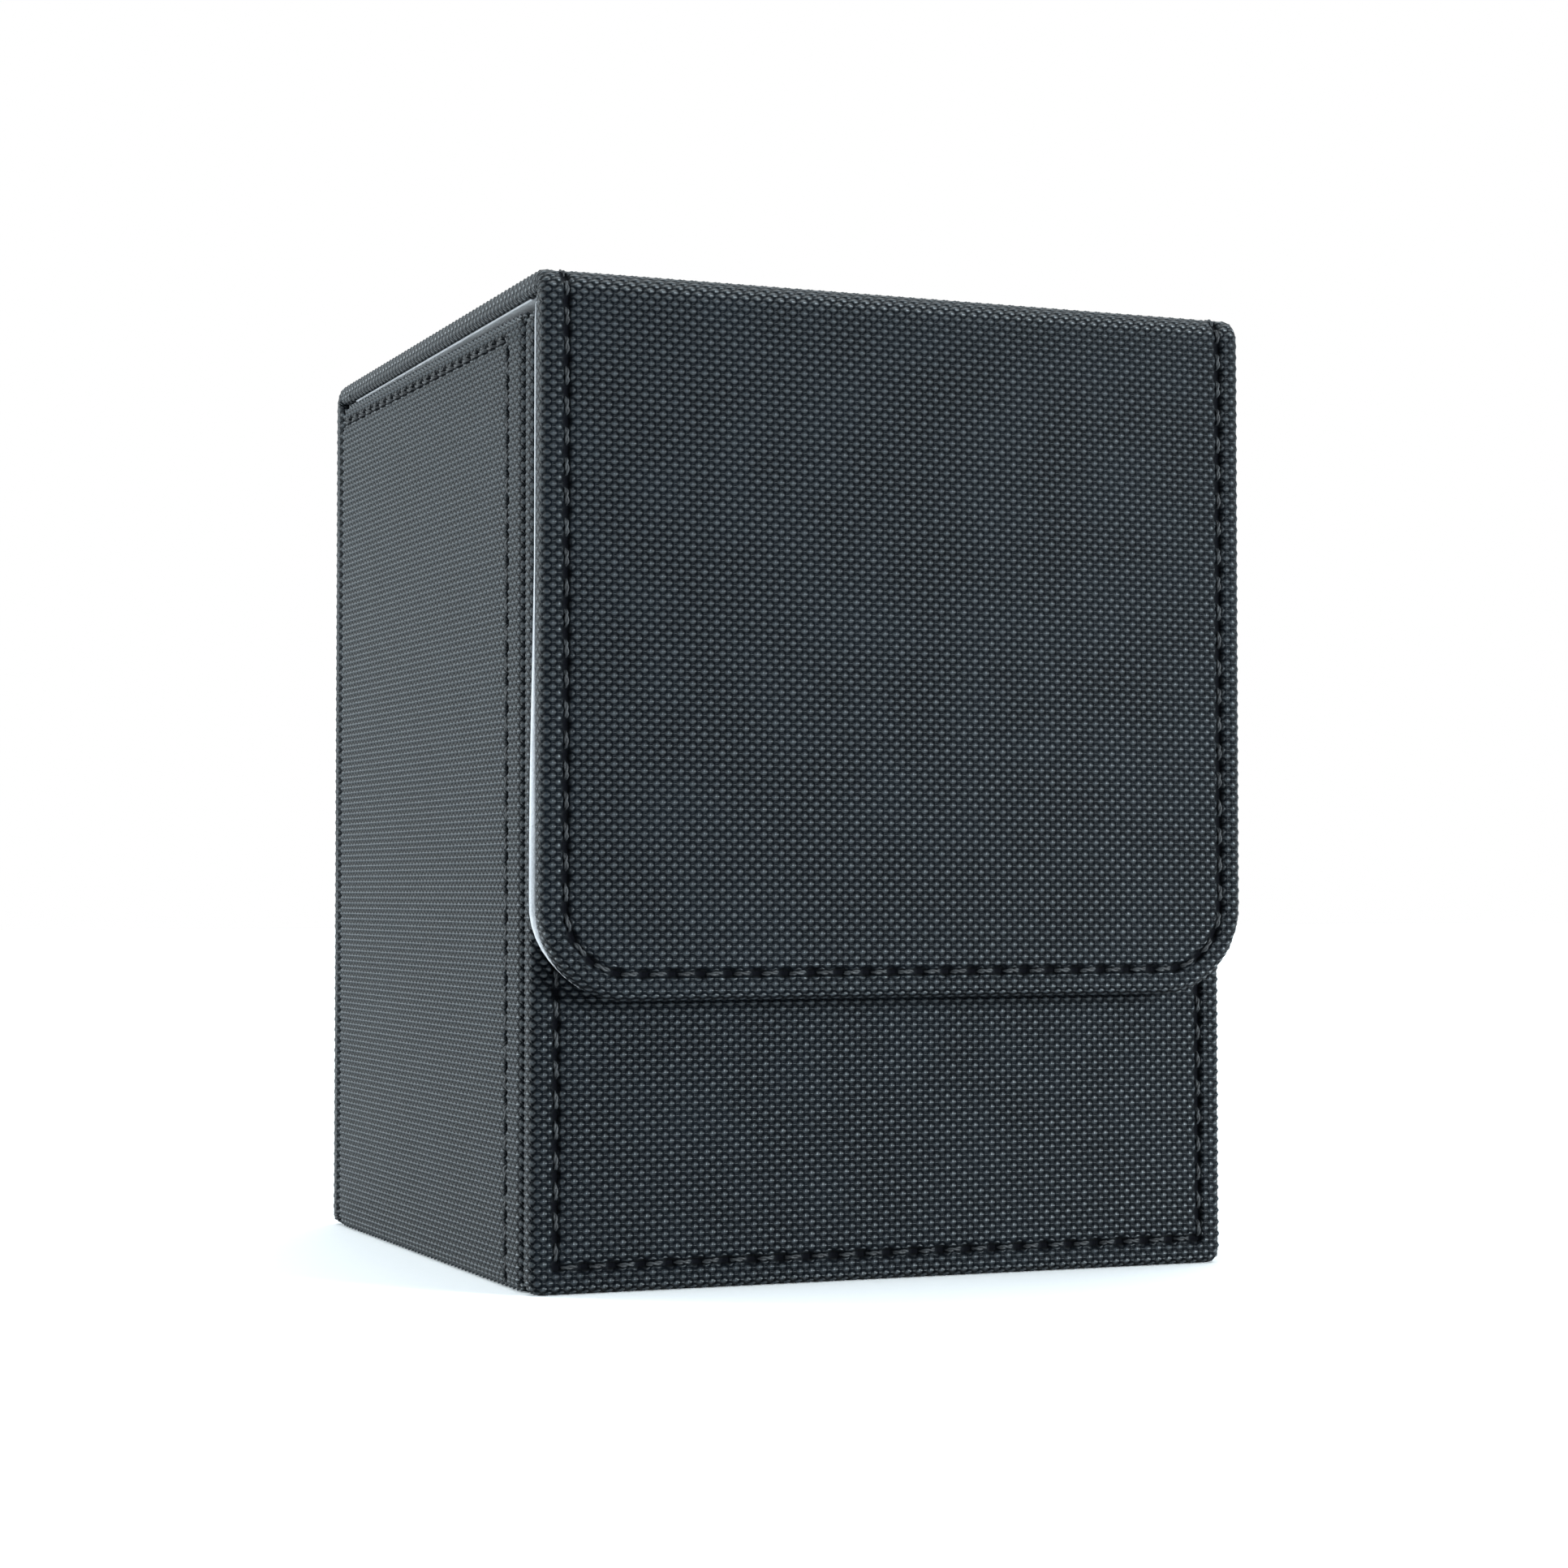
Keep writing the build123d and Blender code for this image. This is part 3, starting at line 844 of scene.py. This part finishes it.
front_place = Flat((0, front_face, 0), (1, 0, 0), (0, 0, 1))
back_place = Flat((WRAP_SHIFT, back_face, 0), (-1, 0, 0), (0, 0, 1))
left_place = Flat((-box_width / 2, side_middle, 0), (0, -1, 0), (0, 0, 1))
right_place = Flat((box_width / 2, side_middle, 0), (0, 1, 0), (0, 0, 1))
floor_place = Flat((0, side_middle, 0), (1, 0, 0), (0, -1, 0))
lid_place = Flat(
    (WRAP_SHIFT, back_fold[0] + fold_radius * sin(tilt), back_fold[1] + fold_radius * cos(tilt)),
    (-1, 0, 0),
    (0, -cos(tilt), sin(tilt)),
)
flap_place = Flat((WRAP_SHIFT, flap_face, front_fold[1]), (1, 0, 0), (0, 0, 1))
lid_fold = Fold(back_fold, fold_radius, 0, 90 - tilt_degrees, (-1, 0, 0), (THICKNESS, LID_THICKNESS))
flap_fold = Fold(
    front_fold, fold_radius, 90 - tilt_degrees, 90 + tilt_degrees, (-1, 0, 0), (LID_THICKNESS, THICKNESS)
)

# The skins meet where the emboss crosses its middle height, so that it runs straight on.
SEAM_PHASE = 0.25

# The fold pieces go on a little past each fold, so that their seams lie on flat panel.
PAST_FOLD = 3 * EMBOSS_Y
stitch_half = wrap_width / 2 - WRAP_INSET


def turns_to(length, phase=0.0):
    """The bumps counted at a panel's two ends, a whole number apart, with the phase at the last."""
    count = round(length / EMBOSS_Y)
    return phase - count, phase


def turns_from(length, extra=0.0):
    """The same for a panel that starts at a seam. extra is the part of a bump it has left over."""
    return SEAM_PHASE, SEAM_PHASE + round(length / EMBOSS_Y - extra) + extra


def finish_piece(piece, material, slot, body, *nodes):
    piece.data.materials.append(material)
    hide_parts(*nodes)
    if body:
        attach(piece, body)
    return piece


def add_thread(name, place, paths, body, node):
    finish_piece(stitching(name, place, paths), thread_look, "thread", body, node)


def box_path(left, right, low, high):
    """A square path round, with its start at the lower left."""
    return [(left, low), (right, low), (right, high), (left, high), (left, low)]


def wrap_path(low, high, radius=0.0):
    """Down one side of the wrap, across near its end and up the other side."""
    return rounded(
        [(-stitch_half, high), (-stitch_half, low), (stitch_half, low), (stitch_half, high)], radius
    )


def side_paths(low, high):
    """Straight rows along both sides of the wrap."""
    return [rounded([(side * stitch_half, low), (side * stitch_half, high)]) for side in (-1, 1)]


def wall_lining(name, node, place, axis):
    """The suede on a wall's inner side. axis is the one that its width lies along."""
    low, high = box_mm(node)
    inside = suede(name, Behind(place, THICKNESS + SUEDE_PROUD), high[axis] - low[axis],
                   low[2], high[2], radii=SUEDE_CORNERS)
    finish_piece(inside, suede_look, "suede", "box", node)


# ---------------------------------------------------------------- walls
def front_wall():
    half = box_width / 2 - FRONT_INSET
    top = wall_height - FRONT_INSET
    path = rounded(box_path(-half, half, FRONT_INSET, top))
    cover = skin("front_skin", front_place, box_width, 0, wall_height, turns_to(wall_height),
                 radii=(FOOT_CORNER, RIM_CORNER), paths=[path], edge_bumps=WALL_EDGE_BUMPS)
    finish_piece(cover, skin_look, "leatherette", "box", "front_cover")
    add_thread("front_thread", front_place, [path], "box", "front_stitching")
    wall_lining("front_suede", "front_lining", front_place, 0)


def side_wall(name, place, forward):
    """forward is the way along the place's x in which the front wall lies."""
    column = forward * (side_length / 2 - SIDE_INSET)
    rear = -forward * (side_length / 2 - ROLL)
    rim = wall_height - SIDE_RIM_INSET
    path = rounded([(rear, rim), (column, rim), (column, ROLL)])
    set_back = Flat(place.origin + (0, SEAM_GAP / 2, 0), place.across, place.along)
    moved = path + (forward * SEAM_GAP / 2, 0)
    cover = skin(f"{name}_skin", set_back, side_length - SEAM_GAP, 0, wall_height,
                 turns_to(wall_height), radii=(FOOT_CORNER, RIM_CORNER), rolls=SIDE_ROLLS,
                 paths=[moved], edge_bumps=WALL_EDGE_BUMPS, raised=SIDE_RAISED)
    finish_piece(cover, skin_look, "leatherette", "box", f"{name}_cover")
    add_thread(f"{name}_thread", place, [path], "box", f"{name}_stitching")
    wall_lining(f"{name}_suede", f"{name}_lining", place, 1)
    side_board(name, place)


def side_board(name, place):
    """The board of a side wall, drawn in behind the deeper rolls of its skin."""
    low, high = box_mm(f"{name}_board")
    sunk = Flat(place.origin - BOARD_DEPTH * place.out, place.across, place.along)
    half = (high[1] - low[1]) / 2 - BOARD_INSET
    foot, top = low[2] + BOARD_INSET, high[2] - BOARD_INSET
    lines = (np.linspace(-half, half, 40), np.linspace(foot, top, 60))

    def level(skin_x, skin_y, plan_x, plan_y, beyond):
        return np.zeros(skin_x.shape), {"emboss": (as_pairs(skin_x, skin_y),) * 2}, {}

    piece = panel(f"{name}_stiffener", sunk, 2 * half + 0.2, foot, top, BOARD_THICKNESS,
                  (0.1, 0.1), (0.0, 0.0), (False, False), lines, level)
    finish_piece(piece, greyboard_look, "greyboard", "box", f"{name}_board")


def back_wall():
    top = back_high[2] - PAST_FOLD
    path = wrap_path(WRAP_INSET, top)
    cover = skin("back_skin", back_place, wrap_width, 0, top, turns_to(top, SEAM_PHASE),
                 radii=(FOOT_CORNER, 0), open_ends=(False, True), paths=[path])
    finish_piece(cover, skin_look, "leatherette", "box", "back_cover")
    add_thread("back_thread", back_place, [path], "box", "back_stitching")
    wall_lining("back_suede", "back_lining", back_place, 0)


def floor_panel():
    cover = skin("bottom_skin", floor_place, inner_width, -side_length / 2, side_length / 2,
                 turns_to(side_length), radii=(FOOT_CORNER, FOOT_CORNER), coarse=2.0)
    finish_piece(cover, skin_look, "leatherette", "box", "bottom_cover")
    clear = 0.05
    inside = suede("bottom_suede", Behind(floor_place, THICKNESS + SUEDE_PROUD),
                   inner_width - 2 * clear, clear - side_length / 2, side_length / 2 - clear,
                   radii=SUEDE_CORNERS)
    finish_piece(inside, suede_look, "suede", "box", "bottom_lining")


# ---------------------------------------------------------------- lid, folds and flap
def lid_panel():
    low, high = PAST_FOLD, lid_length - PAST_FOLD
    paths = side_paths(low, high)
    cover = skin("lid_skin", lid_place, wrap_width, low, high, turns_from(high - low),
                 open_ends=(True, True), paths=paths, thickness=LID_THICKNESS)
    finish_piece(cover, skin_look, "leatherette", "lid", "lid_cover")
    add_thread("lid_thread", lid_place, paths, "lid", "lid_stitching")
    lining_low, lining_high = box_mm("lid_lining")
    width = lining_high[0] - lining_low[0] + 2 * LID_SUEDE_SPREAD
    inside = suede("lid_suede", Behind(lid_place, LID_THICKNESS + 2 * SUEDE_PROUD), width,
                   low, high, open_ends=(True, True))
    finish_piece(inside, suede_look, "suede", "lid", "lid_lining")


def fold_pieces(name, place, suede_before, suede_after, extra=0.0):
    """The strip over one fold, from a body before it to a body after it."""
    low, high = -PAST_FOLD, place.length + PAST_FOLD
    paths = side_paths(low, high)
    cover = skin(f"{name}_skin", place, wrap_width, low, high, turns_from(high - low, extra),
                 open_ends=(True, True), paths=paths, fold_bumps=FOLD_BUMPS)
    sewn = stitching(f"{name}_thread", place, paths)
    lining_low, lining_high = box_mm(f"{name}_lining")
    inside = suede(f"{name}_suede", Behind(place, THICKNESS + SUEDE_PROUD),
                   lining_high[0] - lining_low[0], -suede_before, place.length + suede_after,
                   FOLD_SUEDE_THICK, open_ends=(True, True), wave=0.0)
    none = np.zeros(1)
    ends = [place.point(none, none + y, none)[0] * MM for y in (0, place.length)]
    for piece, look, slot, node in (
        (cover, skin_look, "leatherette", "cover"),
        (sewn, thread_look, "thread", "stitching"),
        (inside, suede_look, "suede", "lining"),
    ):
        finish_piece(piece, look, slot, None, f"{name}_{node}")
        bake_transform(piece)


def flap_spread(x, y):
    """How far the flap's lining stands out past the skin: more towards the lower corners."""
    lower = smoothstep(0.25 * flap_length, 0.80 * flap_length, -y)
    lower = lower * (1 - smoothstep(flap_length - FLAP_CORNER, flap_length - 1, -y))
    return SUEDE_DRAWN_IN + (SUEDE_SPREAD - SUEDE_DRAWN_IN) * lower


def flap_panel():
    top = -PAST_FOLD
    low = -flap_length
    path = wrap_path(low + WRAP_INSET, top, FLAP_CORNER - WRAP_INSET)
    turns = turns_to(top - low, SEAM_PHASE)
    cover = skin("flap_skin", flap_place, wrap_width, low, top, turns,
                 radii=(FLAP_CORNER, 0), open_ends=(False, True), paths=[path])
    finish_piece(cover, skin_look, "leatherette", "flap", "flap_cover")
    add_thread("flap_thread", flap_place, [path], "flap", "flap_stitching")
    lining_high = box_mm("flap_lining")[1]
    depth = lining_high[1] - flap_face
    inside = suede("flap_suede", Behind(flap_place, depth), wrap_width, low,
                   lining_high[2] - front_fold[1], depth - THICKNESS + 0.1,
                   radii=(FLAP_CORNER, 0.5), rolls=(0.3, 0.15), spread=flap_spread)
    finish_piece(inside, suede_look, "suede", "flap", "flap_lining")


front_wall()
side_wall("left", left_place, 1)
side_wall("right", right_place, -1)
back_wall()
floor_panel()
lid_panel()
fold_pieces("lid_hinge", lid_fold, back_high[2] - lining_top, PAST_FOLD)
fold_pieces("flap_hinge", flap_fold, PAST_FOLD, 1.0, 0.5)
flap_panel()

# ---------------------------------------------------------------- pieces kept from the CAD
for node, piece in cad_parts.items():
    if node.endswith(("_board", "_magnets")):
        piece.data.materials.clear()
        piece.data.materials.append(greyboard_look if node.endswith("_board") else magnet_look)


# ---------------------------------------------------------------- stage, light and camera
def stage_floor():
    mesh = bpy.data.meshes.new("floor")
    corners = [(x * FLOOR_REACH, y * FLOOR_REACH, 0) for x, y in ((-1, -1), (1, -1), (1, 1), (-1, 1))]
    mesh.from_pydata(corners, [], [(0, 1, 2, 3)])
    floor = bpy.data.objects.new("floor", mesh)
    floor.data.materials.append(floor_material())
    bpy.context.scene.collection.objects.link(floor)


def aimed(item, target):
    item.rotation_euler = (Vector(target) - item.location).to_track_quat("-Z", "Y").to_euler()


def soft_sun(name, way, strength, spread):
    data = bpy.data.lights.new(name, "SUN")
    data.energy = strength
    data.angle = radians(spread)
    data.color = ROOM_TINT
    lamp = bpy.data.objects.new(name, data)
    lamp.location = way
    aimed(lamp, (0, 0, 0))
    bpy.context.scene.collection.objects.link(lamp)


def white_room():
    """A white room, dimmer where its front is open. It shows as an even white backdrop."""
    world = bpy.data.worlds.new("room")
    bpy.context.scene.world = world
    world.use_nodes = True
    nodes, links = world.node_tree.nodes, world.node_tree.links
    shown = nodes["Background"]
    shown.inputs[0].default_value = (1, 1, 1, 1)
    shown.inputs[1].default_value = 1.0
    way = nodes.new("ShaderNodeTexCoord")
    toward = nodes.new("ShaderNodeVectorMath")
    toward.operation = "DOT_PRODUCT"
    links.new(way.outputs["Generated"], toward.inputs[0])
    toward.inputs[1].default_value = OPEN_FRONT
    opening = nodes.new("ShaderNodeMapRange")
    opening.interpolation_type = "SMOOTHSTEP"
    limits = (OPENING_EDGE, OPENING_CORE, ROOM_LIGHT, FRONT_LIGHT)
    for socket, value in zip(list(opening.inputs)[1:5], limits):
        socket.default_value = value
    links.new(toward.outputs["Value"], opening.inputs[0])
    fill = nodes.new("ShaderNodeBackground")
    fill.inputs[0].default_value = (*ROOM_TINT, 1)
    links.new(opening.outputs[0], fill.inputs[1])
    ray = nodes.new("ShaderNodeLightPath")
    mix = nodes.new("ShaderNodeMixShader")
    links.new(ray.outputs["Is Camera Ray"], mix.inputs[0])
    links.new(fill.outputs[0], mix.inputs[1])
    links.new(shown.outputs[0], mix.inputs[2])
    links.new(mix.outputs[0], nodes["World Output"].inputs[0])


def camera():
    data = bpy.data.cameras.new("camera")
    data.sensor_width = SENSOR
    data.lens = LENS
    azimuth, elevation = radians(VIEW_AZIMUTH), radians(VIEW_ELEVATION)
    back = Vector((sin(azimuth) * cos(elevation), -cos(azimuth) * cos(elevation), sin(elevation)))
    view = bpy.data.objects.new("camera", data)
    view.location = CAMERA_PLACE
    view.rotation_euler = back.to_track_quat("Z", "Y").to_euler()
    bpy.context.scene.collection.objects.link(view)
    bpy.context.scene.camera = view


stage_floor()
white_room()
for sun in SUNS:
    soft_sun(*sun)
camera()
bpy.context.scene.view_settings.view_transform = "Standard"

bpy.context.view_layer.update()
